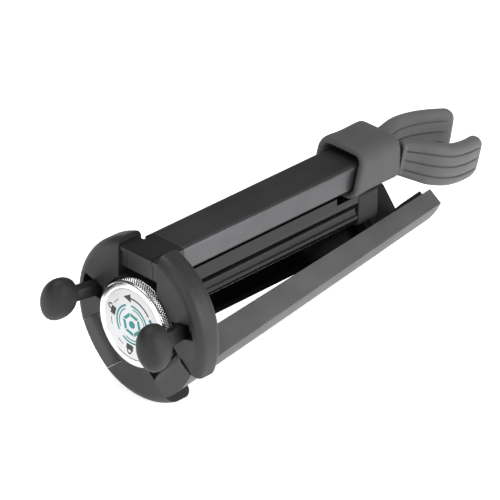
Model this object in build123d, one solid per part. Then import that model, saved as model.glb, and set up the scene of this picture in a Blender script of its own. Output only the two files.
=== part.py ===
from build123d import *
import math
import os

# Folding stand for a wind instrument, stored position.
# Axis frame: +X runs from the twist knob to the yoke, +Z points through the upright,
# and a station angle turns from +Z towards -Y (clockwise seen from the knob).
# All dimensions are millimetres.

# ---------------------------------------------------------------- overall sizes
HUB_D = 94.0            # outer diameter of the hub wings
HUB_T = 17.0            # thickness of the two hub shells together
HUB_FRONT = 8.0         # front shell, ahead of the parting plane
FRONT_LEG_L = 204.0     # pin to tip of the two front legs
UPRIGHT_L = 160.0       # pin to the mouth of the upright tube

# ---------------------------------------------------------------- stations round the hub
LEG_ANGLE = 130.0       # front legs, either side of the upright
PRONG_ANGLE = 76.0      # support prongs, either side of the upright

# ---------------------------------------------------------------- hinges
PIN_R = 33.5            # distance of the leg pins from the hub axis
PIN_D = 5.0
PIN_HALF = 20.0
KNUCKLE_R = 9.0         # front legs
HINGE_FRONT = 7.1       # boxed ends of the upright and the rear leg, ahead of their pin
PLUG_HALF = 9.4         # half width of the upright's hinge end
FIT = 0.05              # radial running fit on every pin
GAP = 0.3               # side clearance between moving pieces
SLOT_HALF = 14.3        # half width of the three leg slots
SLOT_FLOOR = 22.5       # radius of the slot floor

# ---------------------------------------------------------------- front legs
LEG_W = 28.0
LEG_DEPTH = 17.0         # flange depth at the hub
LEG_TIP_DEPTH = 11.8     # flange depth at the tip
BLOCK_DEPTH = 10.0
LEG_WALL = 2.4
LEG_CROWN = 2.0         # rise of the curved outer face
LEG_OUT = PIN_R + 8.0    # radius of the outer face at the pin
LEG_TILT = {1: 6.2, -1: 3.0}   # both legs lean in at their tips, the left one rests on the right
LEG_START = 12.0
BLOCK_END = 36.0

# ---------------------------------------------------------------- rear leg
REAR_W = 24.0
REAR_BOTTOM = 4.0
REAR_TOP = 21.2
REAR_LIP_TOP = 25.3
FLUTE_R = 9.0           # shallow flute along each side of the rear leg
FLUTE_DEPTH = 1.2
FLUTE_Z = 12.5
REAR_START = 20.0
REAR_END = UPRIGHT_L - 12.0
REAR_LIP_END = UPRIGHT_L - 29.0

# ---------------------------------------------------------------- upright, head and yoke
TUBE_W = 25.0
TUBE_H = 15.0
TUBE_WALL = 1.6
TUBE_Z = PIN_R          # height of the tube centre line over the hub axis
TUBE_START = 14.0
BAR_W = 20.4
BAR_H = 10.4
BAR_START = 46.0
COLLAR_START = UPRIGHT_L - 21.0
COLLAR_TOP = UPRIGHT_L - 13.0    # the front rim is raked, further back at its top
COLLAR_W = 34.0
COLLAR_Z0 = 21.5
COLLAR_Z1 = 48.5
HEAD_W = 29.8
HEAD_Z0 = 23.6
HEAD_Z1 = 46.2
HEAD_START = UPRIGHT_L + 0.6
HEAD_END = UPRIGHT_L + 16.0
BAR_END = HEAD_START + 3.6
YOKE_PIN_X = HEAD_END - 5.2
YOKE_PIN_Y = 6.5
YOKE_PIN_D = 4.0
YOKE_Z = 33.5
YOKE_PITCH = {-1: 15.0, 1: 10.0}    # the arms slope towards the hub axis
YOKE_W = 24.0           # height of the padded arms near their tips
YOKE_ROOT_W = 18.0      # and where they leave the head
YOKE_T = 8.0            # thickness of the padded arms
ROD_R = 2.4
ROD_L = 17.0
ROD_HEADING = 10.5
YOKE_LEAN = 5.0         # both arms rest leaning to the right

# ---------------------------------------------------------------- knob and clamp
KNOB_D = 49.2
KNOB_FRONT = -12.0
KNOB_BACK = -5.0
RECESS_X = -4.0         # hub face behind the knob
LABEL_R = KNOB_D / 2 - 4.4
LABEL_T = 0.6
SPINDLE_D = 8.0
SPINDLE_END = 18.2
CLAMP_X = 9.4
CLAMP_T = 4.0
CLAMP_R = 21.0

# ---------------------------------------------------------------- prongs
PRONG_PIN_R = 32.0
PRONG_PIN_D = 4.0
PRONG_W = 8.2
PRONG_T = 4.6
PRONG_L = 31.0
PRONG_LEAN = 8.6
CAP_HALF_R = 8.4        # the caps are oval, narrow along the hub's radius
CAP_HALF_T = 13.0
CAP_L = 19.0

LEG_RIVET_X = (19.0, 29.0)
REAR_RIVET_X = (28.0, 39.0)
SCREW_STATIONS = (40.0, -40.0, 168.0, -168.0)
SCREW_R = 37.0
HUB_R = HUB_D / 2
HUB_BACK = HUB_T - HUB_FRONT
YZ_X = dict(x_dir=(0, 1, 0), z_dir=(1, 0, 0))
BOTTOM = (Align.CENTER, Align.CENTER, Align.MIN)


def xcyl(r, x0, x1, y=0.0, z=0.0):
    return Pos(x0, y, z) * Rot(0, 90, 0) * Cylinder(r, x1 - x0, align=BOTTOM)


def ycyl(r, y0, y1, x=0.0, z=0.0):
    return Pos(x, y0, z) * Rot(-90, 0, 0) * Cylinder(r, y1 - y0, align=BOTTOM)


def zcyl(r, z0, z1, x=0.0, y=0.0):
    return Pos(x, y, z0) * Cylinder(r, z1 - z0, align=BOTTOM)


def block(x0, x1, y0, y1, z0, z1):
    size = Box(x1 - x0, y1 - y0, z1 - z0)
    return Pos((x0 + x1) / 2, (y0 + y1) / 2, (z0 + z1) / 2) * size


def prism_y(points, y0, y1):
    """Polygon given in X and Z, extruded across the object."""
    plane = Plane(origin=(0, y1, 0), x_dir=(1, 0, 0), z_dir=(0, -1, 0))
    face = make_face(Polyline(*points, close=True))
    return extrude(plane * face, amount=y1 - y0)


def section_x(face, x0, x1):
    """Face drawn in Y and Z, extruded along the object."""
    return extrude(Plane(origin=(x0, 0, 0), **YZ_X) * face, amount=x1 - x0)


def station(angle):
    return Rot(angle, 0, 0)


def x_edges(shape):
    return shape.edges().filter_by(Axis.X)


# ================================================================ hub
def hub_solid():
    disc = xcyl(HUB_R, -HUB_FRONT, HUB_BACK)
    rims = disc.edges().filter_by(GeomType.CIRCLE)
    disc = fillet(rims, 5.5)
    disc -= xcyl(KNOB_D / 2 + 1.4, -HUB_FRONT - 1, RECESS_X)
    disc -= xcyl(SPINDLE_D / 2 + FIT, -HUB_FRONT - 1, HUB_BACK + 1)
    for angle in (0.0, LEG_ANGLE, -LEG_ANGLE):
        slot = block(-HUB_T, HUB_T, -SLOT_HALF, SLOT_HALF, SLOT_FLOOR, HUB_R + 5)
        disc -= station(angle) * slot
        disc -= station(angle) * ycyl(PIN_D / 2, -PIN_HALF, PIN_HALF, 0, PIN_R)
    half = PRONG_W / 2 + GAP
    for angle in (PRONG_ANGLE, -PRONG_ANGLE):
        pocket = block(-HUB_T, 6.0, -half, half, 25.5, 41.5)
        disc -= station(angle) * pocket
        disc -= station(angle) * ycyl(PRONG_PIN_D / 2, -9.0, 9.0, 0, PRONG_PIN_R)
    for angle in (90.0, -90.0):
        disc -= station(angle) * xcyl(1.55, 2.0, HUB_BACK + 1, 0, 12.0)
    for angle in SCREW_STATIONS:
        disc -= station(angle) * xcyl(3.6, HUB_BACK - 3.2, HUB_BACK + 1, 0, SCREW_R)
        disc -= station(angle) * xcyl(2.0, -4.0, HUB_BACK, 0, SCREW_R)
    return disc


def hub_front():
    return hub_solid() & block(-HUB_T, 0, -HUB_D, HUB_D, -HUB_D, HUB_D)


def hub_rear():
    return hub_solid() & block(0, HUB_T, -HUB_D, HUB_D, -HUB_D, HUB_D)


def hub_screws():
    screws = []
    for angle in SCREW_STATIONS:
        head = xcyl(3.4, HUB_BACK - 3.2, HUB_BACK - 0.4, 0, SCREW_R)
        shank = xcyl(2.0, -4.0, HUB_BACK - 3.2, 0, SCREW_R)
        socket = xcyl(1.6, HUB_BACK - 2.0, HUB_BACK, 0, SCREW_R)
        screws.append(station(angle) * (head + shank - socket))
    return screws


def thrust_washer():
    return xcyl(12.0, RECESS_X - 0.7, RECESS_X) - xcyl(SPINDLE_D / 2 + 0.4, RECESS_X - 1, RECESS_X + 1)


def hinge_pin():
    pin = ycyl(PIN_D / 2, -PIN_HALF, PIN_HALF, 0, PIN_R)
    return pin


def prong_pin():
    return ycyl(PRONG_PIN_D / 2, -9.0, 9.0, 0, PRONG_PIN_R)


# ================================================================ knob, spindle and clamp
def knob():
    body = xcyl(KNOB_D / 2, KNOB_FRONT, KNOB_BACK)
    rims = body.edges().filter_by(GeomType.CIRCLE)
    body = chamfer(rims, 0.8)
    body -= xcyl(LABEL_R, KNOB_FRONT - 1, KNOB_FRONT + 0.8)
    body -= xcyl(SPINDLE_D / 2, KNOB_FRONT + 3.0, KNOB_BACK + 1)
    return body


def knob_label():
    return xcyl(LABEL_R, KNOB_FRONT + 0.8 - LABEL_T, KNOB_FRONT + 0.8)


def spindle():
    return xcyl(SPINDLE_D / 2, KNOB_FRONT + 3.0, SPINDLE_END)


def spindle_nut():
    nut = section_x(RegularPolygon(6.5, 6), SPINDLE_END - 2.6, SPINDLE_END)
    return nut - xcyl(SPINDLE_D / 2, SPINDLE_END - 4, SPINDLE_END + 1)


def clamp_plate():
    plate = xcyl(CLAMP_R, CLAMP_X, CLAMP_X + CLAMP_T)
    reach = CLAMP_X + CLAMP_T
    plate -= block(0, reach + 1, -14.6, 14.6, 11.5, CLAMP_R + 1)
    for angle in (LEG_ANGLE, -LEG_ANGLE):
        nose = prism_y([(CLAMP_X, 12.0), (CLAMP_X, 24.4), (6.6, 24.4), (6.6, 26.0), (8.2, 28.0),
                        (reach, 28.0), (reach, 12.0)], -9.0, 9.0)
        plate += station(angle) * nose
    plate -= xcyl(SPINDLE_D / 2 + FIT, 0, 20)
    for angle in (90.0, -90.0):
        plate -= station(angle) * xcyl(1.5, CLAMP_X - 1, reach + 1, 0, 12.0)
    return plate


def guide_pins():
    pins = []
    for angle in (90.0, -90.0):
        pins.append(station(angle) * xcyl(1.5, 4.0, CLAMP_X + CLAMP_T, 0, 12.0))
    return pins


# ================================================================ front legs
def leg_outline(half, top, depth, crown):
    side = Polyline((-half, -depth), (-half, top - crown))
    arc = ThreePointArc((-half, top - crown), (0, top), (half, top - crown))
    rest = Polyline((half, top - crown), (half, -depth), (-half, -depth))
    return make_face([side, arc, rest])


def leg_profile():
    outer = leg_outline(LEG_W / 2, 0.0, LEG_DEPTH, LEG_CROWN)
    half = LEG_W / 2 - LEG_WALL
    inner = leg_outline(half, -LEG_WALL, LEG_DEPTH + 1, LEG_CROWN * 0.75)
    shell = section_x(Pos(0, LEG_OUT) * (outer - inner), LEG_START, FRONT_LEG_L)
    deep = LEG_OUT - LEG_DEPTH
    taper = [(LEG_START - 1, deep - 1), (LEG_START - 1, deep), (FRONT_LEG_L + 1, LEG_OUT - LEG_TIP_DEPTH),
             (FRONT_LEG_L + 1, deep - 1)]
    shell -= prism_y(taper, -LEG_W, LEG_W)
    for x in LEG_RIVET_X:
        shell -= zcyl(1.6, LEG_OUT - 5, LEG_OUT + 5, x)
    return shell


def leg_inner_face(depth):
    half = LEG_W / 2 - LEG_WALL
    return leg_outline(half, -LEG_WALL, depth, LEG_CROWN * 0.75)


def leg_block():
    insert = section_x(Pos(0, LEG_OUT) * leg_inner_face(BLOCK_DEPTH - 0.6), LEG_START, BLOCK_END)
    wide = LEG_W / 2 + 0.15
    body_face = leg_outline(wide, 0.0, BLOCK_DEPTH + 1.5, LEG_CROWN)
    body = section_x(Pos(0, LEG_OUT) * body_face, 0, LEG_START)
    front = section_x(Pos(0, LEG_OUT) * leg_outline(wide, 0.0, 8.0, LEG_CROWN), -KNUCKLE_R, 0)
    knuckle = ycyl(KNUCKLE_R, -wide, wide, 0, PIN_R)
    knuckle -= block(-20, 20, -LEG_W, LEG_W, LEG_OUT - LEG_CROWN, LEG_OUT + 20)
    shape = insert + body + front + knuckle
    shape -= ycyl(PIN_D / 2 + FIT, -LEG_W, LEG_W, 0, PIN_R)
    for x in LEG_RIVET_X:
        shape -= zcyl(1.6, LEG_OUT - BLOCK_DEPTH - 5, LEG_OUT + 5, x)
    return shape


def leg_rivets():
    rivets = []
    for x in LEG_RIVET_X:
        rivets.append(zcyl(1.6, LEG_OUT - BLOCK_DEPTH + 0.6, LEG_OUT - 0.1, x))
    return rivets


def leg_foot():
    face = leg_inner_face(LEG_TIP_DEPTH - 0.6)
    pad = section_x(Pos(0, LEG_OUT) * face, FRONT_LEG_L - 24, FRONT_LEG_L - 1.0)
    half = LEG_W / 2 - LEG_WALL - 1.0
    low = LEG_OUT - LEG_TIP_DEPTH - 2.6
    sole = block(FRONT_LEG_L - 22, FRONT_LEG_L - 2.5, -half, half, low, low + 4)
    sole = fillet(sole.edges().filter_by(Axis.Z), 2.5)
    return pad + sole


def place_leg(shape, side):
    tilt = Pos(0, 0, PIN_R) * Rot(0, LEG_TILT[side], 0) * Pos(0, 0, -PIN_R)
    return station(side * LEG_ANGLE) * (tilt * shape)


# ================================================================ rear leg
def rear_profile():
    half = REAR_W / 2
    wall = 2.2
    shell = block(REAR_START, REAR_END, -half, half, REAR_BOTTOM, REAR_TOP)
    shell = fillet(x_edges(shell).sort_by(Axis.Z)[:2], 2.0)
    shell -= block(REAR_START - 1, REAR_END + 1, -half + wall, half - wall, REAR_BOTTOM - 1, REAR_TOP - wall)
    for side in (-1, 1):
        shell -= xcyl(FLUTE_R, REAR_START - 1, REAR_END + 1, side * (half + FLUTE_R - FLUTE_DEPTH), FLUTE_Z)
    for side in (-1, 1):
        y0, y1 = sorted((side * (half - 1.8), side * half))
        lip = block(REAR_START, REAR_LIP_END, y0, y1, REAR_TOP - 0.5, REAR_LIP_TOP)
        shell += lip
    return shell


def hinge_box(top_end, back_end):
    """Side view of a boxed hinge end: a ledge along its top edge, corners within the slot floor."""
    top = TUBE_Z + TUBE_H / 2
    return [(-HINGE_FRONT, top - 3.0), (-HINGE_FRONT, top - 1.0), (1.0 - HINGE_FRONT, top), (top_end, top),
            (back_end, top - 5.0), (back_end, 28.0), (6.0, 25.6), (-3.0, 25.2), (-6.2, 28.6), (-6.2, top - 3.4)]


def rear_block():
    half = REAR_W / 2 - 2.2
    insert = block(REAR_START, 46.0, -half, half, REAR_BOTTOM + 3.0, REAR_TOP - 2.2)
    cheeks = []
    for side in (-1, 1):
        y0, y1 = sorted((side * (PLUG_HALF + GAP), side * (SLOT_HALF - GAP)))
        cheek = prism_y(hinge_box(5.8, 9.2), y0, y1)
        web = [(0, PIN_R), (8.9, PIN_R), (8.9, 25.6), (REAR_START, 25.2), (REAR_START, REAR_BOTTOM + 3.0),
               (REAR_START - 1.4, REAR_BOTTOM + 5.0), (11.0, 15.6), (9.7, 18.0), (9.7, 24.7), (4.6, 26.4)]
        y2, y3 = sorted((side * (PLUG_HALF + GAP), side * 12.2))
        cheek += prism_y(web, y2, y3)
        cheeks.append(cheek)
    bridge = block(REAR_START - 1.2, REAR_START, -12.2, 12.2, REAR_BOTTOM + 5.0, REAR_TOP - 0.2)
    shape = insert + bridge + cheeks[0] + cheeks[1]
    shape -= ycyl(PIN_D / 2 + FIT, -LEG_W, LEG_W, 0, PIN_R)
    for x in REAR_RIVET_X:
        shape -= zcyl(1.6, REAR_BOTTOM - 1, REAR_TOP, x)
    return shape


def rear_rivets():
    rivets = []
    for x in REAR_RIVET_X:
        rivets.append(zcyl(1.6, REAR_BOTTOM + 3.0, REAR_TOP - 2.2, x))
    return rivets


def rear_foot():
    half = REAR_W / 2 - 2.2
    core = block(REAR_END - 16, REAR_END, -half, half, REAR_BOTTOM + 0.2, REAR_TOP - 2.2)
    cap = block(REAR_END, REAR_END + 16.0, -REAR_W / 2 - 0.4, REAR_W / 2 + 0.4, REAR_BOTTOM - 2.0, REAR_TOP)
    cap = fillet(x_edges(cap), 2.4)
    cap = fillet(cap.faces().sort_by(Axis.X)[-1].edges(), 2.0)
    return core + cap


# ================================================================ upright
def rounded_section(w, h, r):
    return Pos(0, TUBE_Z) * RectangleRounded(w, h, r)


def upright_tube():
    outer = rounded_section(TUBE_W, TUBE_H, 2.2)
    inner = rounded_section(TUBE_W - 2 * TUBE_WALL, TUBE_H - 2 * TUBE_WALL, 1.0)
    return section_x(outer - inner, TUBE_START, UPRIGHT_L)


def upright_plug():
    insert = section_x(rounded_section(TUBE_W - 2 * TUBE_WALL, TUBE_H - 2 * TUBE_WALL, 1.0), TUBE_START, 38.0)
    flange = section_x(rounded_section(TUBE_W, TUBE_H, 2.2), 10.0, TUBE_START)
    neck = prism_y(hinge_box(10.0, 10.0), -PLUG_HALF, PLUG_HALF)
    neck += block(9.0, 10.0, -PLUG_HALF, PLUG_HALF, TUBE_Z - TUBE_H / 2 + 0.5, TUBE_Z + TUBE_H / 2)
    shape = insert + flange + neck
    shape -= ycyl(PIN_D / 2 + FIT, -LEG_W, LEG_W, 0, PIN_R)
    shape -= ycyl(1.6, -LEG_W, LEG_W, 26.0, TUBE_Z)
    return shape


def upright_rivet():
    return ycyl(1.6, -TUBE_W / 2 + TUBE_WALL, TUBE_W / 2 - TUBE_WALL, 26.0, TUBE_Z)


def guide_bush():
    outer = rounded_section(TUBE_W - 2 * TUBE_WALL, TUBE_H - 2 * TUBE_WALL, 1.0)
    inner = rounded_section(BAR_W + 0.7, BAR_H + 0.7, 0.8)
    return section_x(outer - inner, UPRIGHT_L - 14.0, UPRIGHT_L)


# ================================================================ head and yoke
def inner_bar():
    return section_x(rounded_section(BAR_W, BAR_H, 1.2), BAR_START, BAR_END)


def head_block():
    body = block(HEAD_START, HEAD_END - 0.8, -HEAD_W / 2, HEAD_W / 2, HEAD_Z0, HEAD_Z1)
    body = fillet(x_edges(body), 3.0)
    body -= section_x(rounded_section(BAR_W, BAR_H, 1.2), HEAD_START - 1, BAR_END)
    low = YOKE_Z - 4.3
    body -= block(BAR_END + 1.0, HEAD_END + 5, -HEAD_W, HEAD_W, low, YOKE_Z + 4.3)
    for side in (-1, 1):
        body -= zcyl(YOKE_PIN_D / 2, HEAD_Z0 - 1, HEAD_Z1 - 3.0, YOKE_PIN_X, side * YOKE_PIN_Y)
    return body


def head_collar():
    outer = block(COLLAR_START, HEAD_END, -COLLAR_W / 2, COLLAR_W / 2, COLLAR_Z0, COLLAR_Z1)
    outer = fillet(x_edges(outer), 7.0)
    rear_rim = outer.faces().sort_by(Axis.X)[-1].edges()
    outer = fillet(rear_rim, 0.9)
    rake = [(COLLAR_START - 1, COLLAR_Z0 - 1), (COLLAR_START, COLLAR_Z0 - 1), (COLLAR_TOP, COLLAR_Z1 + 1),
            (COLLAR_START - 1, COLLAR_Z1 + 1)]
    outer -= prism_y(rake, -COLLAR_W, COLLAR_W)
    hollow = block(HEAD_START, HEAD_END + 1, -HEAD_W / 2, HEAD_W / 2, HEAD_Z0, HEAD_Z1)
    hollow = fillet(x_edges(hollow), 3.0)
    mouth = block(COLLAR_START - 1, HEAD_START, -13.4, 13.4, HEAD_Z0 + 0.6, HEAD_Z1 - 1.2)
    mouth = fillet(x_edges(mouth), 3.0)
    return outer - hollow - mouth


def arm_points(side):
    """Centre line of a padded arm from its pin: the right arm is bent in an S, the left one is nearly straight."""
    if side < 0:
        return [(11.5, 1.8), (15.0, 3.0), (20.5, 7.4), (27.5, 13.0), (37.0, 15.4), (50.0, 12.4), (65.0, 6.0)]
    return [(11.5, 1.8), (16.5, 3.0), (24.0, 5.6), (34.0, 8.4), (45.0, 9.4), (56.0, 8.4), (67.5, 5.6)]


def offset_points(points, distance):
    result = []
    for i, (x, y) in enumerate(points):
        x0, y0 = points[max(i - 1, 0)]
        x1, y1 = points[min(i + 1, len(points) - 1)]
        length = math.hypot(x1 - x0, y1 - y0)
        result.append((x - (y1 - y0) / length * distance, y + (x1 - x0) / length * distance))
    return result


def yoke_sleeve_solid(side):
    points = arm_points(side)
    left = offset_points(points, YOKE_T / 2)
    right = offset_points(points, -YOKE_T / 2)
    root = Line(left[0], right[0])
    end = ThreePointArc(left[-1], (points[-1][0] + 3.6, points[-1][1] - 1.5), right[-1])
    face = make_face([Spline(*left), end, Spline(*right), root])
    pad = extrude(Pos(0, 0, -YOKE_W / 2) * face, amount=YOKE_W)
    first, last = points[0][0] - 4.0, points[-1][0] + 6.0
    side_view = [(first, -YOKE_ROOT_W / 2), (26.0, -YOKE_W / 2), (last, -YOKE_W / 2), (last, YOKE_W / 2),
                 (26.0, YOKE_W / 2), (first, YOKE_ROOT_W / 2)]
    return pad & prism_y(side_view, -40.0, 40.0)


def rod_solid(radius, length):
    return Rot(0, 0, ROD_HEADING) * (Rot(0, 90, 0) * Cylinder(radius, length, align=BOTTOM))


def yoke_frame(side, lean):
    return Pos(YOKE_PIN_X, side * YOKE_PIN_Y, YOKE_Z) * Rot(0, 0, side * lean)


def yoke_arm(side, lean):
    pitch = Rot(0, YOKE_PITCH[side], 0)
    sleeve = pitch * (yoke_sleeve_solid(side) - rod_solid(ROD_R, ROD_L) - rod_solid(ROD_R + 1.5, 12.4))
    bore = zcyl(YOKE_PIN_D / 2 + FIT, -20, 20)
    rod = pitch * rod_solid(ROD_R, ROD_L) + zcyl(5.0, -4.0, 4.0) - bore
    if side < 0:
        sleeve = mirror(sleeve, about=Plane.XZ)
        rod = mirror(rod, about=Plane.XZ)
    frame = yoke_frame(side, lean)
    return frame * sleeve, frame * rod


def yoke_pins():
    pins = []
    for side in (-1, 1):
        pins.append(zcyl(YOKE_PIN_D / 2, HEAD_Z0 + 0.2, HEAD_Z1 - 3.0, YOKE_PIN_X, side * YOKE_PIN_Y))
    return pins


# ================================================================ prongs
def prong_stalk():
    half = PRONG_W / 2
    stalk = block(-PRONG_L - 2.0, 0, -half, half, PRONG_PIN_R - PRONG_T / 2, PRONG_PIN_R + PRONG_T / 2)
    stalk += ycyl(4.6, -half, half, 0, PRONG_PIN_R)
    stalk -= ycyl(PRONG_PIN_D / 2 + FIT, -half - 1, half + 1, 0, PRONG_PIN_R)
    return stalk


def prong_cap():
    radius = CAP_HALF_T
    cap = xcyl(radius, -CAP_L / 2, CAP_L / 2)
    cap = fillet(cap.edges().filter_by(GeomType.CIRCLE).sort_by(Axis.X)[0], 9.0)
    cap = fillet(cap.edges().filter_by(GeomType.CIRCLE).sort_by(Axis.X)[-1], 6.5)
    cap = scale(cap, by=(1.0, 1.0, CAP_HALF_R / radius))
    cap = Pos(-PRONG_L, 0, PRONG_PIN_R) * cap
    half = PRONG_W / 2
    cap -= block(-PRONG_L - 2.0, 0, -half, half, PRONG_PIN_R - PRONG_T / 2, PRONG_PIN_R + PRONG_T / 2)
    return cap


def place_prong(shape, side):
    lean = Pos(0, 0, PRONG_PIN_R) * Rot(0, PRONG_LEAN, 0) * Pos(0, 0, -PRONG_PIN_R)
    return station(side * PRONG_ANGLE) * (lean * shape)


# ================================================================ assembly
def build():
    parts = {}
    parts["hub_front"] = hub_front()
    parts["hub_rear"] = hub_rear()
    parts["hub_screws"] = Compound(children=hub_screws())
    parts["thrust_washer"] = thrust_washer()
    pins = [station(a) * hinge_pin() for a in (0.0, LEG_ANGLE, -LEG_ANGLE)]
    parts["leg_pins"] = Compound(children=pins)
    prong_pins = [station(a) * prong_pin() for a in (PRONG_ANGLE, -PRONG_ANGLE)]
    parts["prong_pins"] = Compound(children=prong_pins)
    parts["knob"] = knob()
    parts["knob_label"] = knob_label()
    parts["spindle"] = spindle()
    parts["spindle_nut"] = spindle_nut()
    parts["clamp_plate"] = clamp_plate()
    parts["guide_pins"] = Compound(children=guide_pins())
    for side, name in ((1, "right"), (-1, "left")):
        parts["leg_" + name] = place_leg(leg_profile(), side)
        parts["leg_block_" + name] = place_leg(leg_block(), side)
        parts["leg_foot_" + name] = place_leg(leg_foot(), side)
        rivets = [place_leg(r, side) for r in leg_rivets()]
        parts["leg_rivets_" + name] = Compound(children=rivets)
    parts["rear_leg"] = rear_profile()
    parts["rear_leg_block"] = rear_block()
    parts["rear_leg_foot"] = rear_foot()
    parts["rear_leg_rivets"] = Compound(children=rear_rivets())
    parts["upright_tube"] = upright_tube()
    parts["upright_plug"] = upright_plug()
    parts["upright_rivet"] = upright_rivet()
    parts["guide_bush"] = guide_bush()
    parts["inner_bar"] = inner_bar()
    parts["head_block"] = head_block()
    parts["head_collar"] = head_collar()
    parts["yoke_pins"] = Compound(children=yoke_pins())
    right_sleeve, right_rod = yoke_arm(-1, YOKE_LEAN)
    left_sleeve, left_rod = yoke_arm(1, -YOKE_LEAN)
    parts["yoke_pad_right"] = right_sleeve
    parts["yoke_rod_right"] = right_rod
    parts["yoke_pad_left"] = left_sleeve
    parts["yoke_rod_left"] = left_rod
    for side, name in ((1, "right"), (-1, "left")):
        parts["prong_" + name] = place_prong(prong_stalk(), side)
        parts["prong_cap_" + name] = place_prong(prong_cap(), side)
    return parts


def main():
    os.makedirs("parts", exist_ok=True)
    parts = build()
    boxes = [shape.bounding_box() for shape in parts.values()]
    x_mid = (min(b.min.X for b in boxes) + max(b.max.X for b in boxes)) / 2
    y_mid = (min(b.min.Y for b in boxes) + max(b.max.Y for b in boxes)) / 2
    z_low = min(b.min.Z for b in boxes)
    for name, shape in parts.items():
        export_step(Pos(-x_mid, -y_mid, -z_low) * shape, "parts/" + name + ".step")


main()
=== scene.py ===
import math

import bmesh
import bpy
from mathutils import Matrix, Vector

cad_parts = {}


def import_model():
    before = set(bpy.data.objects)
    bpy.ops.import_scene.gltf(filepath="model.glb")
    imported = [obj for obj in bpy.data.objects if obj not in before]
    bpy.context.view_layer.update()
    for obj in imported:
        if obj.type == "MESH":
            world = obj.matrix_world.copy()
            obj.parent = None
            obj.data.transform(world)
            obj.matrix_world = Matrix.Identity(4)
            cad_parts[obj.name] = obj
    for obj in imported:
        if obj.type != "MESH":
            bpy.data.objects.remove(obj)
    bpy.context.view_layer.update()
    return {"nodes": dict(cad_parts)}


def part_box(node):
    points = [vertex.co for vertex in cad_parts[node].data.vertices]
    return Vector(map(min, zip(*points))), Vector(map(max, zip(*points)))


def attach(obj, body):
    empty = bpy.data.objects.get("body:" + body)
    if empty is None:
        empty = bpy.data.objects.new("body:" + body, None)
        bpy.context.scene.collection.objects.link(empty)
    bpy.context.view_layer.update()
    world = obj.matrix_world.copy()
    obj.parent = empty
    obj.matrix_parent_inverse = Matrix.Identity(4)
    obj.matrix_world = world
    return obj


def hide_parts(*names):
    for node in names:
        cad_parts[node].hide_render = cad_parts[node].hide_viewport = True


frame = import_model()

# ------------------------------------------------------------------ the axis frame
# Shapes are written in millimetres in the hub's axis frame: X from the knob to the fork
# with 0 on the hinge pins, Z up through the upright, Y to the left seen from the knob.
HUB_R = 47.0
hub_low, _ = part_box("hub_rear")
ORIGIN = Vector((hub_low[0], 0.0, hub_low[2] + HUB_R / 1000.0))
PRONG_ANGLE = 76.0


def place(p):
    return ORIGIN + Vector(p) / 1000.0


def at_station(angle, x, t, r):
    """Point given along the axis, across and away from it at a station round the hub."""
    a = math.radians(angle)
    return Vector((x, t * math.cos(a) - r * math.sin(a), t * math.sin(a) + r * math.cos(a)))


# ------------------------------------------------------------------ materials
class Nodes:
    def __init__(self, name):
        self.mat = bpy.data.materials.new(name)
        self.mat.use_nodes = True
        self.tree = self.mat.node_tree
        self.bsdf = self.tree.nodes["Principled BSDF"]
        self.coord = self.add("ShaderNodeTexCoord").outputs["Object"]

    def add(self, kind, **props):
        node = self.tree.nodes.new(kind)
        for key, value in props.items():
            setattr(node, key, value)
        return node

    def link(self, a, b):
        self.tree.links.new(a, b)

    def mapped(self, scale):
        node = self.add("ShaderNodeMapping")
        node.inputs["Scale"].default_value = scale
        self.link(self.coord, node.inputs["Vector"])
        return node.outputs["Vector"]

    def noise(self, per_metre, detail=3.0, rough=0.55, stretch=(1, 1, 1)):
        node = self.add("ShaderNodeTexNoise")
        node.inputs["Scale"].default_value = 1.0
        node.inputs["Detail"].default_value = detail
        node.inputs["Roughness"].default_value = rough
        self.link(self.mapped([per_metre * s for s in stretch]), node.inputs["Vector"])
        return node.outputs["Fac"]

    def voronoi(self, per_metre):
        node = self.add("ShaderNodeTexVoronoi", feature="F1")
        node.inputs["Scale"].default_value = 1.0
        self.link(self.mapped([per_metre] * 3), node.inputs["Vector"])
        return node.outputs["Distance"]

    def ramp(self, fac, stops):
        node = self.add("ShaderNodeValToRGB")
        while len(node.color_ramp.elements) > 1:
            node.color_ramp.elements.remove(node.color_ramp.elements[-1])
        for i, (pos, rgb) in enumerate(stops):
            e = node.color_ramp.elements[0] if i == 0 else node.color_ramp.elements.new(pos)
            e.position = pos
            e.color = (rgb[0], rgb[1], rgb[2], 1)
        self.link(fac, node.inputs["Fac"])
        return node.outputs["Color"]

    def math(self, op, a, b):
        node = self.add("ShaderNodeMath", operation=op)
        for i, v in enumerate((a, b)):
            if isinstance(v, (int, float)):
                node.inputs[i].default_value = v
            else:
                self.link(v, node.inputs[i])
        return node.outputs[0]

    def spread(self, fac, low, high):
        node = self.add("ShaderNodeMapRange")
        node.inputs["From Min"].default_value = 0.3
        node.inputs["From Max"].default_value = 0.7
        node.inputs["To Min"].default_value = low
        node.inputs["To Max"].default_value = high
        self.link(fac, node.inputs["Value"])
        return node.outputs["Result"]

    def bump(self, height, distance_mm, strength=1.0):
        node = self.add("ShaderNodeBump")
        node.inputs["Strength"].default_value = strength
        node.inputs["Distance"].default_value = distance_mm / 1000.0
        self.link(height, node.inputs["Height"])
        self.link(node.outputs["Normal"], self.bsdf.inputs["Normal"])


def shade(base, k):
    """Colour made lighter or darker by a factor."""
    return tuple(min(1.0, c * k) for c in base)


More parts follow.
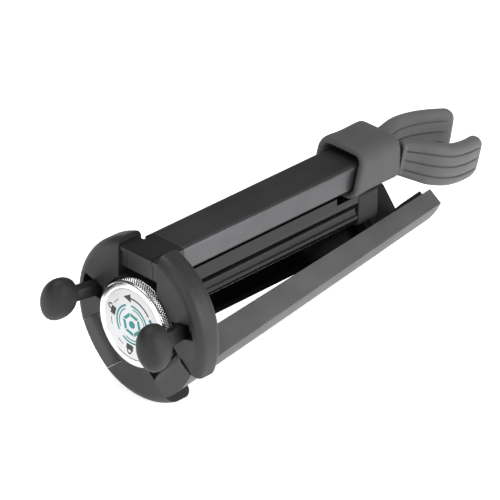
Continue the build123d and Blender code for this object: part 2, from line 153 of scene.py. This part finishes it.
def grained(name, base, rough, grain_mm=0.5, bump_mm=0.05, mottle=0.18, speckle=0.10, metallic=0.0,
            specular=0.5, sheen=0.0, coat=0.0, stretch=(1, 1, 1), rough_spread=0.06):
    """Moulded plastic, rubber, cast or anodised metal: tone drift, fine speckle and grain."""
    n = Nodes(name)
    b = n.bsdf
    drift = n.noise(45, 2.0, 0.5, stretch)
    fine = n.noise(1000.0 / grain_mm, 2.0, 0.6, stretch)
    mix = n.math("ADD", n.math("MULTIPLY", drift, 1.0 - speckle), n.math("MULTIPLY", fine, speckle))
    low, high = shade(base, 1 - mottle), shade(base, 1 + mottle)
    n.link(n.ramp(mix, [(0.36, low), (0.64, high)]), b.inputs["Base Color"])
    n.link(n.spread(fine, rough - rough_spread, rough + rough_spread), b.inputs["Roughness"])
    n.bump(fine, bump_mm)
    b.inputs["Metallic"].default_value = metallic
    b.inputs["Specular IOR Level"].default_value = specular
    b.inputs["Sheen Weight"].default_value = sheen
    b.inputs["Sheen Roughness"].default_value = 0.5
    b.inputs["Coat Weight"].default_value = coat
    b.inputs["Coat Roughness"].default_value = 0.12
    return n.mat


def pebbled(name, base, rough, cell_mm, bump_mm, mottle, specular=0.4, sheen=0.0):
    """Soft rubber with a cellular skin."""
    n = Nodes(name)
    b = n.bsdf
    cells = n.voronoi(1000.0 / cell_mm)
    fine = n.noise(1600, 2.0, 0.6)
    drift = n.noise(35, 2.0, 0.5)
    tone = n.math("ADD", n.math("MULTIPLY", drift, 0.7), n.math("MULTIPLY", fine, 0.3))
    n.link(n.ramp(tone, [(0.36, shade(base, 1 - mottle)), (0.64, shade(base, 1 + mottle))]),
           b.inputs["Base Color"])
    n.link(n.spread(fine, rough - 0.06, rough + 0.06), b.inputs["Roughness"])
    n.bump(n.math("ADD", cells, n.math("MULTIPLY", fine, 0.6)), bump_mm)
    b.inputs["Specular IOR Level"].default_value = specular
    b.inputs["Sheen Weight"].default_value = sheen
    b.inputs["Sheen Roughness"].default_value = 0.5
    return n.mat


def metal(name, base, rough, streak=(1, 30, 30), bump_mm=0.01, mottle=0.08):
    """Bare or plated metal with fine drawn or turned lines."""
    n = Nodes(name)
    b = n.bsdf
    lines = n.noise(60, 4.0, 0.6, streak)
    n.link(n.ramp(lines, [(0.3, shade(base, 1 - mottle)), (0.7, shade(base, 1 + mottle))]),
           b.inputs["Base Color"])
    n.link(n.spread(lines, rough - 0.05, rough + 0.05), b.inputs["Roughness"])
    n.bump(lines, bump_mm)
    b.inputs["Metallic"].default_value = 1.0
    return n.mat


M = {
    "hub": grained("hub_nylon", (0.0175, 0.0175, 0.0185), 0.50, 0.45, 0.06, 0.22, specular=0.42),
    "block": grained("block_nylon", (0.0075, 0.0075, 0.008), 0.36, 0.5, 0.03, 0.22),
    "upright": grained("upright_satin", (0.100, 0.100, 0.104), 0.34, 0.40, 0.03, 0.14, metallic=0.85,
                       stretch=(0.5, 1, 1)),
    "leg": grained("leg_granular", (0.078, 0.078, 0.081), 0.52, 0.55, 0.10, 0.18, 0.45),
    "gloss": grained("leg_gloss_black", (0.0040, 0.0040, 0.0044), 0.16, 1.2, 0.004, 0.25, specular=0.28,
                     coat=0.05, rough_spread=0.03),
    "collar": pebbled("collar_rubber", (0.070, 0.070, 0.073), 0.62, 0.8, 0.07, 0.14, 0.35, 0.08),
    "pad": pebbled("pad_rubber", (0.090, 0.090, 0.093), 0.60, 0.8, 0.07, 0.15, 0.35, 0.08),
    "cap": pebbled("cap_rubber", (0.012, 0.012, 0.013), 0.58, 0.7, 0.05, 0.18, 0.40, 0.03),
    "foot": pebbled("foot_rubber", (0.013, 0.013, 0.0135), 0.58, 0.8, 0.06, 0.18, 0.35),
    "knob": metal("knob_bright", (0.80, 0.80, 0.81), 0.24, (30, 3, 3)),
    "steel": metal("steel_bright", (0.56, 0.56, 0.57), 0.28, (20, 20, 2)),
    "bar": metal("bar_satin", (0.34, 0.34, 0.35), 0.34, (1, 25, 25)),
    "plate": metal("plate_pressed", (0.22, 0.22, 0.23), 0.42, (4, 6, 6)),
    "label": grained("label_silver", (0.66, 0.665, 0.675), 0.38, 0.6, 0.006, 0.04, metallic=0.15),
    "washer": grained("washer_ptfe", (0.75, 0.75, 0.72), 0.5, 0.5, 0.02, 0.06),
    "ink_black": grained("ink_black", (0.012, 0.012, 0.014), 0.45, 0.4, 0.004, 0.15),
    "ink_teal": grained("ink_teal", (0.003, 0.215, 0.225), 0.42, 0.4, 0.004, 0.10),
    "bush": grained("bush_acetal", (0.020, 0.020, 0.021), 0.4, 0.5, 0.02, 0.12),
}

node_material = {
    "hub_front": "hub", "hub_rear": "hub", "thrust_washer": "washer", "leg_pins": "steel",
    "prong_pins": "steel", "spindle": "steel", "spindle_nut": "steel", "clamp_plate": "plate",
    "guide_pins": "steel", "leg_right": "leg", "leg_left": "gloss", "leg_block_right": "block",
    "leg_block_left": "block", "leg_foot_right": "foot", "leg_foot_left": "foot",
    "leg_rivets_right": "steel", "leg_rivets_left": "steel", "rear_leg": "gloss",
    "rear_leg_block": "block", "rear_leg_foot": "foot", "rear_leg_rivets": "steel",
    "upright_tube": "upright", "upright_plug": "block", "upright_rivet": "steel",
    "guide_bush": "bush", "inner_bar": "bar", "head_block": "block", "head_collar": "collar",
    "yoke_pins": "steel", "yoke_pad_right": "pad", "yoke_pad_left": "pad", "yoke_rod_right": "steel",
    "yoke_rod_left": "steel", "prong_right": "block", "prong_left": "block", "prong_cap_right": "cap",
    "prong_cap_left": "cap", "knob": "knob", "knob_label": "label", "hub_screws": "steel",
}
for name, obj in frame["nodes"].items():
    obj.data.materials.clear()
    obj.data.materials.append(M[node_material[name]])


SHARP_ANGLE = 28                    # degrees between faces from which an edge is rounded


def soften(name, width_mm):
    """Rounds the sharp edges of a CAD node a little with modifiers."""
    obj = frame["nodes"][name]
    weld = obj.modifiers.new("weld", "WELD")
    weld.merge_threshold = 0.000004
    bevel = obj.modifiers.new("bevel", "BEVEL")
    bevel.width = width_mm / 1000.0
    bevel.segments = 3
    bevel.limit_method = "ANGLE"
    bevel.angle_limit = math.radians(SHARP_ANGLE)
    bevel.harden_normals = False
    bevel.use_clamp_overlap = True
    obj.data.shade_smooth()
    normals = obj.modifiers.new("normals", "WEIGHTED_NORMAL")
    normals.keep_sharp = False


# rounding of the kept CAD pieces, in millimetres
EDGE_ROUNDING = {
    "hub_front": 0.25, "hub_rear": 0.25, "leg_right": 0.35, "leg_left": 0.35, "leg_block_right": 0.12,
    "leg_block_left": 0.12, "rear_leg": 0.3, "rear_leg_block": 0.5, "rear_leg_foot": 0.4,
    "upright_tube": 0.25, "head_block": 0.4, "prong_right": 0.4, "prong_left": 0.4, "clamp_plate": 0.3,
    "upright_plug": 0.55, "leg_foot_right": 0.5, "leg_foot_left": 0.5,
}
for name, width in EDGE_ROUNDING.items():
    soften(name, width)


# ------------------------------------------------------------------ mesh tools
def make_object(name, verts, faces, material, body, smooth=True, replaced=None):
    """Mesh piece that rides on a body and, where named, stands in for a CAD node."""
    mesh = bpy.data.meshes.new(name)
    mesh.from_pydata([place(v) for v in verts], [], faces)
    mesh.validate()
    bm = bmesh.new()
    bm.from_mesh(mesh)
    bmesh.ops.remove_doubles(bm, verts=bm.verts, dist=0.000002)
    bmesh.ops.recalc_face_normals(bm, faces=bm.faces)
    bm.to_mesh(mesh)
    bm.free()
    obj = bpy.data.objects.new(name, mesh)
    bpy.context.scene.collection.objects.link(obj)
    mesh.materials.append(M[material])
    if smooth:
        mesh.shade_smooth()
    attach(obj, body)
    if replaced:
        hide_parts(replaced)
    return obj


def loft(rings, closed=False, cap_start=True, cap_end=True):
    """Quads between rings of points; each ring closes on itself."""
    verts, faces = [], []
    count = len(rings[0])
    for ring in rings:
        verts.extend(ring)
    pairs = len(rings) if closed else len(rings) - 1
    for i in range(pairs):
        a, b = i * count, ((i + 1) % len(rings)) * count
        for j in range(count):
            k = (j + 1) % count
            faces.append((a + j, a + k, b + k, b + j))
    if not closed and cap_start:
        faces.append(tuple(range(count - 1, -1, -1)))
    if not closed and cap_end:
        last = (len(rings) - 1) * count
        faces.append(tuple(range(last, last + count)))
    return verts, faces


def rounded_rect(half_a, half_b, radius, steps=6):
    """Closed outline, counter-clockwise, as (a, b) pairs."""
    radius = min(radius, half_a - 0.01, half_b - 0.01)
    out = []
    for quadrant, (sa, sb) in enumerate(((1, 1), (-1, 1), (-1, -1), (1, -1))):
        for i in range(steps + 1):
            t = math.radians(90 * quadrant + 90 * i / steps)
            out.append((sa * (half_a - radius) + radius * math.cos(t),
                        sb * (half_b - radius) + radius * math.sin(t)))
    return out


def ring_x(x, r, count):
    """Circle of points round the hub axis."""
    turns = [2 * math.pi * i / count for i in range(count)]
    return [Vector((x, r * math.sin(t), r * math.cos(t))) for t in turns]


# ------------------------------------------------------------------ knob
KNOB_FRONT = -12.0
KNOB_BACK = -5.0
KNOB_R = 24.6
KNURL_TEETH = 96
KNURL_DEPTH = 0.42
KNURL_SLANT = 1.15                  # above 1 the diamonds are longer than wide


def build_knob():
    """Twist knob with a diamond knurl in the mesh, a turned rim and a recessed face."""
    front, back, radius, teeth = KNOB_FRONT, KNOB_BACK, KNOB_R, KNURL_TEETH
    around, rows = 1152, 42
    rings = []
    for x, r in ((-7.6, 4.0), (back, 4.0), (back, 10.0), (back, radius - 1.0), (back - 0.05, radius - 0.75),
                 (back - 0.25, radius - 0.35)):
        rings.append(ring_x(x, r, around))
    knurl_back, knurl_front = back - 0.55, front + 1.35
    for row in range(rows + 1):
        x = knurl_back + (knurl_front - knurl_back) * row / rows
        fade = min(1.0, row / 3.0, (rows - row) / 3.0)
        ring = []
        for i in range(around):
            turn = i / around
            along = (x - knurl_back) / (math.pi * 2 * radius / teeth) / KNURL_SLANT
            a = abs(((turn * teeth + along) % 1.0) - 0.5) * 2
            b = abs(((turn * teeth - along) % 1.0) - 0.5) * 2
            height = min(a, b)
            r = radius - 0.05 - KNURL_DEPTH * fade * (1.0 - min(1.0, height * 1.25)) - 0.10 * (1 - fade)
            ring.append(Vector((x, r * math.sin(2 * math.pi * turn), r * math.cos(2 * math.pi * turn))))
        rings.append(ring)
    for x, r in ((front + 1.15, radius - 0.30), (front + 0.95, radius - 0.30), (front + 0.75, radius - 0.12),
                 (front + 0.35, radius - 0.45), (front + 0.08, radius - 1.05), (front, radius - 1.7),
                 (front, radius - 3.2), (front + 0.10, radius - 3.9), (front + 0.35, radius - 4.25),
                 (front + 0.80, radius - 4.40), (front + 0.80, 12.0), (front + 0.80, 4.0),
                 (front + 3.0, 4.0), (front + 3.0, 0.4)):
        rings.append(ring_x(x, r, around))
    verts, faces = loft(rings, cap_start=False, cap_end=True)
    make_object("knob_knurled", verts, faces, "knob", "knob", replaced="knob")


build_knob()

LABEL_X = -11.80                    # a little behind the knob's front rim


def face_point(angle_deg, r, x):
    """Angle clockwise from the top as the face is seen."""
    a = math.radians(angle_deg)
    return Vector((x, -r * math.sin(a), r * math.cos(a)))


def printed(name, outlines, material, lift=0.05):
    """Flat printed shapes on the label: each outline is a list of (angle, radius) corners."""
    verts, faces = [], []
    for outline in outlines:
        start = len(verts)
        n = len(outline)
        for x in (LABEL_X - lift, LABEL_X + 0.1):
            verts.extend(face_point(a, r, x) for a, r in outline)
        faces.append(tuple(range(start, start + n)))
        faces.append(tuple(range(start + 2 * n - 1, start + n - 1, -1)))
        for i in range(n):
            j = (i + 1) % n
            faces.append((start + i, start + n + i, start + n + j, start + j))
    return make_object(name, verts, faces, material, "knob", smooth=False)


def arc_band(a0, a1, r0, r1, step=3.0):
    """Outline of a curved stripe between two angles and two radii."""
    count = max(2, int(abs(a1 - a0) / step))
    outer = [(a0 + (a1 - a0) * i / count, r1) for i in range(count + 1)]
    inner = [(a1 + (a0 - a1) * i / count, r0) for i in range(count + 1)]
    return outer + inner


def local_shape(points, angle, radius, turn=0.0):
    """Polygon drawn in millimetres round a point of the label, as (angle, radius) corners."""
    c, s = math.cos(math.radians(turn)), math.sin(math.radians(turn))
    a = math.radians(angle)
    centre = (radius * math.sin(a), radius * math.cos(a))
    out = []
    for u, v in points:
        x = centre[0] + u * c + v * s
        y = centre[1] - u * s + v * c
        out.append((math.degrees(math.atan2(x, y)), math.hypot(x, y)))
    return out


LABEL_TURN = -14.0                  # the knob rests turned by this
TRACK_R = 15.45                     # the arrows, the dot and the ticks run on this circle
PADLOCK_R = 15.2


def arrow(start, end, way):
    """Curved arrow along the track with its head at the end; way is -1 or 1 for the sense of turning."""
    band = arc_band(LABEL_TURN + start, LABEL_TURN + end, 15.0, 15.95)
    head = [(0, 2.5), (0, -2.5), (5.4 * way, 0)]
    return [band, local_shape(head, LABEL_TURN + end, TRACK_R, LABEL_TURN + end + 2 * way)]


def padlock(angle, opened):
    """Pictogram of a padlock, its shackle shifted to one side when it is open."""
    turn = LABEL_TURN + angle
    body = [(-2.5, -2.6), (2.5, -2.6), (2.5, 0.7), (-2.5, 0.7)]
    shift = 1.5 if opened else 0.0
    turns = [math.pi * t / 12 for t in range(13)]
    shackle = [(shift + 1.9 * math.cos(q), 0.7 + 2.7 * math.sin(q)) for q in turns]
    shackle += [(shift + 1.1 * math.cos(q), 0.7 + 1.9 * math.sin(q)) for q in reversed(turns)]
    return [local_shape(body, turn, PADLOCK_R, turn), local_shape(shackle, turn, PADLOCK_R, turn)]


def ornament():
    """Generic ornament: a hexagon round a dot inside two broken rings."""
    shapes = []
    for k in range(3):
        start = 120 * k + LABEL_TURN
        shapes.append(arc_band(start + 10, start + 110, 10.6, 11.7))
        shapes.append(arc_band(start + 18, start + 102, 9.0, 9.7))
    for k in range(6):
        a0, a1 = 60 * k + LABEL_TURN + 3, 60 * k + LABEL_TURN + 57
        shapes.append([(a0, 6.9), (a1, 6.9), (a1, 4.9), (a0, 4.9)])
    shapes.append([(15.0 * i, 2.2) for i in range(24)])
    return shapes


def build_label():
    printed("label_arrows", arrow(66, 10, -1) + arrow(84, 138, 1), "ink_black")
    disc = [(1.15 * math.cos(t * math.pi / 12), 1.15 * math.sin(t * math.pi / 12)) for t in range(24)]
    printed("label_dot", [local_shape(disc, LABEL_TURN + 75, TRACK_R)], "ink_teal")
    ticks = [arc_band(LABEL_TURN + a - 8, LABEL_TURN + a + 8, 15.25, 15.65) for a in (-36, -88, 174, 226)]
    # open and shut padlocks stand for the knob's two senses of turning
    printed("label_icons", padlock(-62, True) + padlock(200, False) + ticks, "ink_black")
    printed("label_ornament", ornament(), "ink_teal")


build_label()


# ------------------------------------------------------------------ hub screws
SCREW_STATIONS = (40.0, -40.0, 168.0, -168.0)
SCREW_PITCH_R = 37.0
SCREW_SIDES = 48
# distance along the axis and radius, from the thread's tip to the rim of the head
SCREW_PROFILE = ((-4.0, 1.6), (-3.6, 1.98), (5.8, 1.98), (5.8, 3.1), (6.0, 3.35), (8.2, 3.35), (8.5, 3.2),
                 (8.6, 2.9))
SOCKET_PROFILE = ((8.6, 1.75), (8.45, 1.6), (6.9, 1.6))


def screw_circle(angle, x, r):
    turns = [2 * math.pi * i / SCREW_SIDES for i in range(SCREW_SIDES)]
    return [at_station(angle, x, r * math.sin(t), SCREW_PITCH_R + r * math.cos(t)) for t in turns]


def screw_hexagon(angle, x, r):
    out = []
    for i in range(SCREW_SIDES):
        t = (i / SCREW_SIDES) * 6
        k, f = int(t), t - int(t)
        p = Vector((math.sin(math.pi * k / 3), math.cos(math.pi * k / 3)))
        q = Vector((math.sin(math.pi * (k + 1) / 3), math.cos(math.pi * (k + 1) / 3)))
        w = p.lerp(q, f) * r
        out.append(at_station(angle, x, w.x, SCREW_PITCH_R + w.y))
    return out


def build_screws():
    verts, faces = [], []
    for angle in SCREW_STATIONS:
        rings = [screw_circle(angle, x, r) for x, r in SCREW_PROFILE]
        rings += [screw_hexagon(angle, x, r) for x, r in SOCKET_PROFILE]
        v, f = loft(rings)
        base = len(verts)
        verts.extend(v)
        faces.extend(tuple(base + i for i in face) for face in f)
    make_object("hub_socket_screws", verts, faces, "steel", "hub", replaced="hub_screws")


build_screws()


# ------------------------------------------------------------------ head collar
COLLAR_MOUTH_X = 139.2              # at the underside
COLLAR_RAKE = 8.0                   # the mouth leans back by this over the collar's height
COLLAR_REAR_X = 175.9
COLLAR_LOW = 21.0
COLLAR_H = 28.0
COLLAR_RIM_ROUND = 2.1
COLLAR_REAR_ROUND = 2.3
# outlines of the collar: half width, underside, top and corner radius
MOUTH = (13.1, 24.5, 44.7, 3.6)
RIM_GROWTH = (4.25, -3.1, 4.3, 4.6)
BODY_HALF_W, BODY_LOW, BODY_TOP, BODY_CORNER = 17.35, 21.4, 49.0, 8.2
REAR_HALF_W, REAR_LOW, REAR_TOP, REAR_CORNER = 17.1, 21.6, 48.7, 8.0
POCKET = (14.92, 23.58, 46.22, 3.0)
POCKET_EDGE = (14.95, 23.55, 46.25, 3.0)
POCKET_L = 15.0


def build_collar():
    """Moulded rubber collar: raked mouth with a fat rim, closed round the head block."""
    corner_steps = 9

    def front(z):
        return COLLAR_MOUTH_X + COLLAR_RAKE * (z - COLLAR_LOW) / COLLAR_H

    def section(k, shift, half, low, top, radius):
        """Ring at share k of the length, shifted along the axis, with its own outline."""
        mid, rise = (low + top) / 2, (top - low) / 2
        ring = []
        for a, b in rounded_rect(half, rise, radius, corner_steps):
            z = mid + b
            x = front(z) * (1 - k) + COLLAR_REAR_X * k + shift
            ring.append(Vector((x, a, z)))
        return ring

    rings = []
    # round front rim from the mouth outwards, then the slightly waisted body and the rounded rear edge
    for step in range(9):
        t = math.pi * step / 8
        out = (1 - math.cos(t)) / 2
        outline = [size + growth * out for size, growth in zip(MOUTH, RIM_GROWTH)]
        rings.append(section(0.0, COLLAR_RIM_ROUND * (1 - math.sin(t)), *outline))
    for k, swell in ((0.12, 0.05), (0.2, 0.0), (0.32, -0.22), (0.5, -0.35), (0.7, -0.3), (0.86, -0.2)):
        rings.append(section(k, 0.0, BODY_HALF_W + swell, BODY_LOW - swell, BODY_TOP + swell, BODY_CORNER))
    for step in range(1, 7):
        t = math.pi / 2 * step / 6
        inset = COLLAR_REAR_ROUND * (1 - math.cos(t))
        shift = -COLLAR_REAR_ROUND + COLLAR_REAR_ROUND * math.sin(t)
        rings.append(section(1.0, shift, REAR_HALF_W - inset, REAR_LOW + inset, REAR_TOP - inset,
                             REAR_CORNER - inset))
    # pocket for the head block, then the narrower mouth
    rings.append(section(1.0, -0.05, *POCKET_EDGE))
    rings.append(section(1.0, -0.6, *POCKET))
    rings.append(section(1.0, -POCKET_L, *POCKET))
    rings.append(section(1.0, -POCKET_L - 0.6, *MOUTH))
    verts, faces = loft(rings, closed=True)
    make_object("head_collar_rubber", verts, faces, "collar", "head", replaced="head_collar")


# ------------------------------------------------------------------ fork pads
# the right arm is bent in an S, the left one is nearly straight
ARM = {-1: [(11.5, 1.8), (15.0, 3.0), (20.5, 7.4), (27.5, 13.0), (37.0, 15.4), (50.0, 12.4), (65.0, 6.0)],
       1: [(11.5, 1.8), (16.5, 3.0), (24.0, 5.6), (34.0, 8.4), (45.0, 9.4), (56.0, 8.4), (67.5, 5.6)]}
ARM_PITCH = {-1: 15.0, 1: 10.0}     # slope towards the hub axis
TIP_ROUND = {-1: 8.0, 1: 6.0}       # corner of the tip in side view
# open root of a sleeve: share of the thickness, share of the width, shift along the arm
ROOT_LIP = ((0.55, 0.62, 5.0), (0.62, 0.70, 1.2), (0.68, 0.76, 0.3), (0.80, 0.86, 0.0), (0.93, 0.95, 0.12))
TIP_L = 3.0                         # past the end of the centre line
TIP_NOSE = 3.4                      # rounding of the tip through its thickness
YOKE_PIN = Vector((170.8, 6.5, 33.5))


def spline(points, samples):
    """Points along a smooth curve through the given ones."""
    out = []
    pts = [Vector(p) for p in points]
    pts = [pts[0] * 2 - pts[1]] + pts + [pts[-1] * 2 - pts[-2]]
    for i in range(1, len(pts) - 2):
        p0, p1, p2, p3 = pts[i - 1:i + 3]
        for j in range(samples):
            t = j / samples
            out.append(0.5 * ((2 * p1) + (p2 - p0) * t + (2 * p0 - 5 * p1 + 4 * p2 - p3) * t * t
                              + (3 * p1 - p0 - 3 * p2 + p3) * t * t * t))
    out.append(pts[-2])
    return out


PAD_HALF_T = 4.0
PAD_HALF_W = 10.0
PAD_CORNER = 3.3
PAD_CORNER_INSET = 0.1
PAD_CROWN = 0.25
# an arm is narrow at its root and widens over a short length
ROOT_HALF_W = 8.6
WIDENING = 3.4
WIDEN_START = 8.0
WIDEN_L = 18.0
GROOVES = (-5.2, 0.0, 5.2)
# one groove across: distance from its middle and depth
GROOVE = ((-0.70, 0.0), (-0.46, 0.16), (-0.30, 0.95), (0, 1.20), (0.30, 0.95), (0.46, 0.16), (0.70, 0.0))


def pad_outline():
    """Section of a padded arm, 8 by 20 mm, with three grooves down each broad side."""
    end = PAD_HALF_W - PAD_CORNER
    inset = PAD_HALF_T - PAD_CORNER_INSET - PAD_CORNER
    marks = [(g + offset, depth) for g in GROOVES for offset, depth in GROOVE]
    side = [(PAD_HALF_T, -end)] + [(PAD_HALF_T - depth, m) for m, depth in marks] + [(PAD_HALF_T, end)]
    broad = [(n - PAD_CROWN * (abs(m) / PAD_HALF_W) ** 2, m) for n, m in side]

    def corner(toward_n, toward_m, start, first):
        out = []
        for i in range(first, 8):
            t = math.radians(start + 90 * i / 8)
            n = toward_n * inset + PAD_CORNER * math.cos(t)
            out.append((n, toward_m * end + PAD_CORNER * math.sin(t)))
        return out

    far = [(-n, m) for n, m in reversed(broad)]
    return (broad + corner(1, 1, 0, 1) + corner(-1, 1, 90, 0) + far + corner(-1, -1, 180, 1)
            + corner(1, -1, 270, 0))


def build_pad(side, name, body, node, lean):
    """Grooved rubber sleeve swept along the arm's centre line, open at the root and rounded at the tip."""
    path = spline(ARM[side], 12)
    tail = (path[-1] - path[-2]).normalized()
    lengths = [0.0]
    for a, b in zip(path, path[1:]):
        lengths.append(lengths[-1] + (b - a).length)
    total = lengths[-1] + TIP_L
    stations = list(zip(lengths, path))
    for extra in (0.8, 1.6, 2.2, 2.6, 2.85, TIP_L):
        stations.append((lengths[-1] + extra, path[-1] + tail * extra))
    outline = pad_outline()
    pitch = math.radians(ARM_PITCH[side])
    tip = TIP_ROUND[side]
    turn = math.radians(side * lean)

    def world(p, z):
        """Axis frame position of a point of the arm: pitched, mirrored for its side and leaning."""
        x, y = p.x, p.y
        x1 = x * math.cos(pitch) + z * math.sin(pitch)
        z1 = -x * math.sin(pitch) + z * math.cos(pitch)
        y1 = side * y
        x2 = x1 * math.cos(turn) - y1 * math.sin(turn)
        y2 = x1 * math.sin(turn) + y1 * math.cos(turn)
        return Vector((YOKE_PIN.x + x2, side * YOKE_PIN.y + y2, YOKE_PIN.z + z1))

    def ring(index, squeeze_n=1.0, squeeze_h=1.0, shift=0.0):
        """Section at a station; the grooves fade out towards the root and the tip."""
        s, p = stations[index]
        q0 = stations[max(index - 1, 0)][1]
        q1 = stations[min(index + 1, len(stations) - 1)][1]
        d = (q1 - q0).normalized()
        normal = Vector((-d.y, d.x))
        from_tip = total - s
        n_lim = PAD_HALF_T
        widened = min(1.0, max(0.0, (p.x - WIDEN_START) / WIDEN_L)) ** 0.8
        h_lim = ROOT_HALF_W + WIDENING * widened
        if from_tip < tip:
            h_lim = h_lim - tip + math.sqrt(max(0.0, tip ** 2 - (tip - from_tip) ** 2))
        if from_tip < TIP_NOSE:
            n_lim = 0.6 + math.sqrt(max(0.0, TIP_NOSE ** 2 - (TIP_NOSE - from_tip) ** 2))
        fade = max(0.0, min(1.0, (from_tip - 4.0) / 5.0)) * max(0.0, min(1.0, (s - 1.0) / 4.0))
        out = []
        for n, h in outline:
            flat = PAD_HALF_T - PAD_CROWN * (abs(h) / PAD_HALF_W) ** 2
            if abs(h) < 6.6:
                n = math.copysign(flat - (flat - abs(n)) * fade, n)
            across = n * n_lim / PAD_HALF_T * squeeze_n
            out.append(world(p + d * shift + normal * across, h * h_lim / PAD_HALF_W * squeeze_h))
        return out

    # the open root: from the bottom of the hollow round its lip to the full section
    rings = [ring(0, *lip) for lip in ROOT_LIP]
    rings += [ring(i) for i in range(1, len(stations))]
    verts, faces = loft(rings)
    make_object(name, verts, faces, "pad", body, replaced=node)


# ------------------------------------------------------------------ prong caps
CAP_CENTRE_X = -31.0
CAP_CENTRE_R = 32.0
CAP_LEAN = 8.6
CAP_FLATNESS = 8.4 / 13.0           # radial half height over half width
CAP_FACE_R = 4.6                    # inside this radius the oval turns into a circle


def build_cap(side, name, body, node):
    """Oval rubber cap, flatter on the stalk side."""
    profile = [(-9.5, 0.3), (-9.47, 2.6), (-9.25, 4.9), (-8.75, 7.2), (-7.8, 9.3), (-6.4, 11.0), (-4.6, 12.2),
               (-2.4, 12.85), (0.2, 12.95), (2.8, 12.5), (5.1, 11.5), (7.0, 9.9), (8.3, 8.0), (9.1, 6.3),
               (9.45, 5.3), (9.5, 4.6), (9.3, 4.1), (8.4, 3.8)]
    count = 72
    lean = math.radians(CAP_LEAN)
    rings = []
    for dx, r in profile:
        ring = []
        narrow = CAP_FLATNESS + (1.0 - CAP_FLATNESS) * max(0.0, (CAP_FACE_R - r) / CAP_FACE_R)
        for i in range(count):
            t = 2 * math.pi * i / count
            x, z, y = CAP_CENTRE_X + dx, r * narrow * math.cos(t), r * math.sin(t)
            x1 = x * math.cos(lean) + z * math.sin(lean)
            z1 = -x * math.sin(lean) + z * math.cos(lean)
            ring.append(at_station(side * PRONG_ANGLE, x1, y, CAP_CENTRE_R + z1))
        rings.append(ring)
    verts, faces = loft(rings)
    make_object(name, verts, faces, "cap", body, replaced=node)


build_collar()
build_pad(-1, "fork_pad_right", "yoke_right", "yoke_pad_right", 5.0)
build_pad(1, "fork_pad_left", "yoke_left", "yoke_pad_left", -5.0)
build_cap(1, "prong_tip_right", "prong_right", "prong_cap_right")
build_cap(-1, "prong_tip_left", "prong_left", "prong_cap_left")


# ------------------------------------------------------------------ floor, light and camera
def build_floor():
    """Plain pale ground that glows a little, as a lit studio sweep does."""
    bm = bmesh.new()
    bmesh.ops.create_grid(bm, x_segments=8, y_segments=8, size=6.0)
    mesh = bpy.data.meshes.new("studio_floor")
    bm.to_mesh(mesh)
    bm.free()
    floor = bpy.data.objects.new("studio_floor", mesh)
    floor.location = (0, 0, -0.0005)
    bpy.context.scene.collection.objects.link(floor)
    n = Nodes("floor_pale")
    n.link(n.ramp(n.noise(3, 2.0), [(0.3, (0.90, 0.90, 0.90)), (0.7, (0.93, 0.93, 0.93))]),
           n.bsdf.inputs["Base Color"])
    n.bsdf.inputs["Roughness"].default_value = 0.9
    n.bsdf.inputs["Emission Color"].default_value = (1, 1, 1, 1)
    n.bsdf.inputs["Emission Strength"].default_value = 0.72
    mesh.materials.append(n.mat)


def area(name, location, target, size, power, size_y=None):
    """Soft rectangular panel light aimed at a point."""
    light = bpy.data.lights.new(name, "AREA")
    light.shape = "RECTANGLE"
    light.size = size
    light.size_y = size_y or size
    light.energy = power
    obj = bpy.data.objects.new(name, light)
    obj.location = location
    obj.rotation_euler = (Vector(target) - Vector(location)).to_track_quat("-Z", "Y").to_euler()
    bpy.context.scene.collection.objects.link(obj)


def build_world():
    """Studio surround: bright low down and overhead, with a darker belt behind the object."""
    world = bpy.data.worlds.new("studio")
    bpy.context.scene.world = world
    world.use_nodes = True
    tree = world.node_tree
    coord = tree.nodes.new("ShaderNodeTexCoord")
    split = tree.nodes.new("ShaderNodeSeparateXYZ")
    tree.links.new(coord.outputs["Generated"], split.inputs["Vector"])
    ramp = tree.nodes.new("ShaderNodeValToRGB")
    ramp.color_ramp.interpolation = "EASE"
    stops = ((0.0, 0.9), (0.12, 0.55), (0.34, 0.20), (0.62, 0.26), (0.86, 0.95), (1.0, 1.1))
    for i, (position, level) in enumerate(stops):
        if i < 2:
            element = ramp.color_ramp.elements[i]
            element.position = position
        else:
            element = ramp.color_ramp.elements.new(position)
        element.color = (level, level, level, 1)
    tree.links.new(split.outputs["Z"], ramp.inputs["Fac"])
    background = tree.nodes["Background"]
    tree.links.new(ramp.outputs["Color"], background.inputs["Color"])
    background.inputs["Strength"].default_value = 0.50


build_floor()
build_world()
area("side_panel", (0.25, -1.15, 0.45), (0.05, 0, 0.05), 0.9, 12, 0.7)
area("front_panel", (-1.35, -0.5, 0.75), (0, 0, 0.05), 0.8, 8)
area("top_panel", (-0.1, 0.35, 1.6), (0, 0, 0.05), 0.9, 11)

camera_data = bpy.data.cameras.new("camera")
camera = bpy.data.objects.new("camera", camera_data)
bpy.context.scene.collection.objects.link(camera)
bpy.context.scene.camera = camera
right = Vector((0.6985, -0.7153, 0.0153)).normalized()
back = Vector((-0.6293, -0.6040, 0.4890)).normalized()
up = back.cross(right).normalized()
right = up.cross(back).normalized()
DISTANCE = 3.0
aim = ORIGIN + right * 0.0537 + up * 0.0353
camera.matrix_world = Matrix.Translation(aim + back * DISTANCE) @ Matrix(
    (right, up, back)).transposed().to_4x4()
camera_data.sensor_width = 36.0
camera_data.lens = 36.0 * DISTANCE / 0.263
camera_data.clip_end = 50.0

scene = bpy.context.scene
scene.view_settings.view_transform = "Standard"
